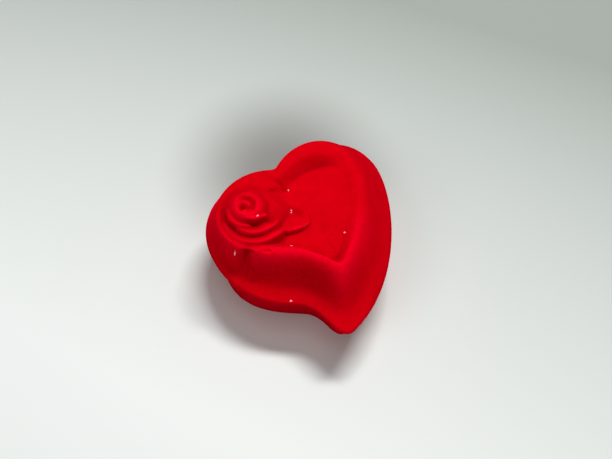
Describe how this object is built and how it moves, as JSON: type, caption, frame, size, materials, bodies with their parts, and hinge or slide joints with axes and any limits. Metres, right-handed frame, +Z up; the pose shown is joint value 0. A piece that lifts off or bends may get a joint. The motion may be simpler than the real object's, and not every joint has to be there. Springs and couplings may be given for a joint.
{
  "type": "heart ring box",
  "caption": "Small hinged heart-shaped ring box in red flocked plastic, with a hooked tip, a sunk heart panel and a moulded rose on the lid, and a slit ring cushion inside.",
  "frame": {"origin": "on the flat underside of the base, below the middle of the lid's rim", "axes": "+Z up, +Y towards the hinge and the cleft of the heart, -Y towards the tip, +X to the right of someone facing the tip"},
  "size_m": [0.053, 0.0528, 0.0333],
  "materials": {
    "red_flock": "matte",
    "hinge_steel": "satin",
    "card": "matte",
    "foam": "matte",
    "velvet": "matte",
    "satin": "satin"
  },
  "bodies": {
    "base": {"base_shell": "red_flock", "base_hinge_leaf": "hinge_steel", "hinge_pin": "hinge_steel", "hinge_spring": "hinge_steel", "insert_board": "card", "ring_foam": "foam", "ring_cover": "velvet"},
    "lid": {"lid_shell": "red_flock", "lid_hinge_leaf": "hinge_steel", "lining_board": "card", "lining_foam": "foam", "lining_cover": "satin"}
  },
  "joints": [
    {"name": "lid_hinge", "type": "hinge", "parent": "base", "child": "lid", "pos_m": [-0.00053, 0.0259, 0.0169], "axis": [-1, 0, 0], "range_deg": [0, 100], "deforming": ["hinge_spring"]}
  ]
}
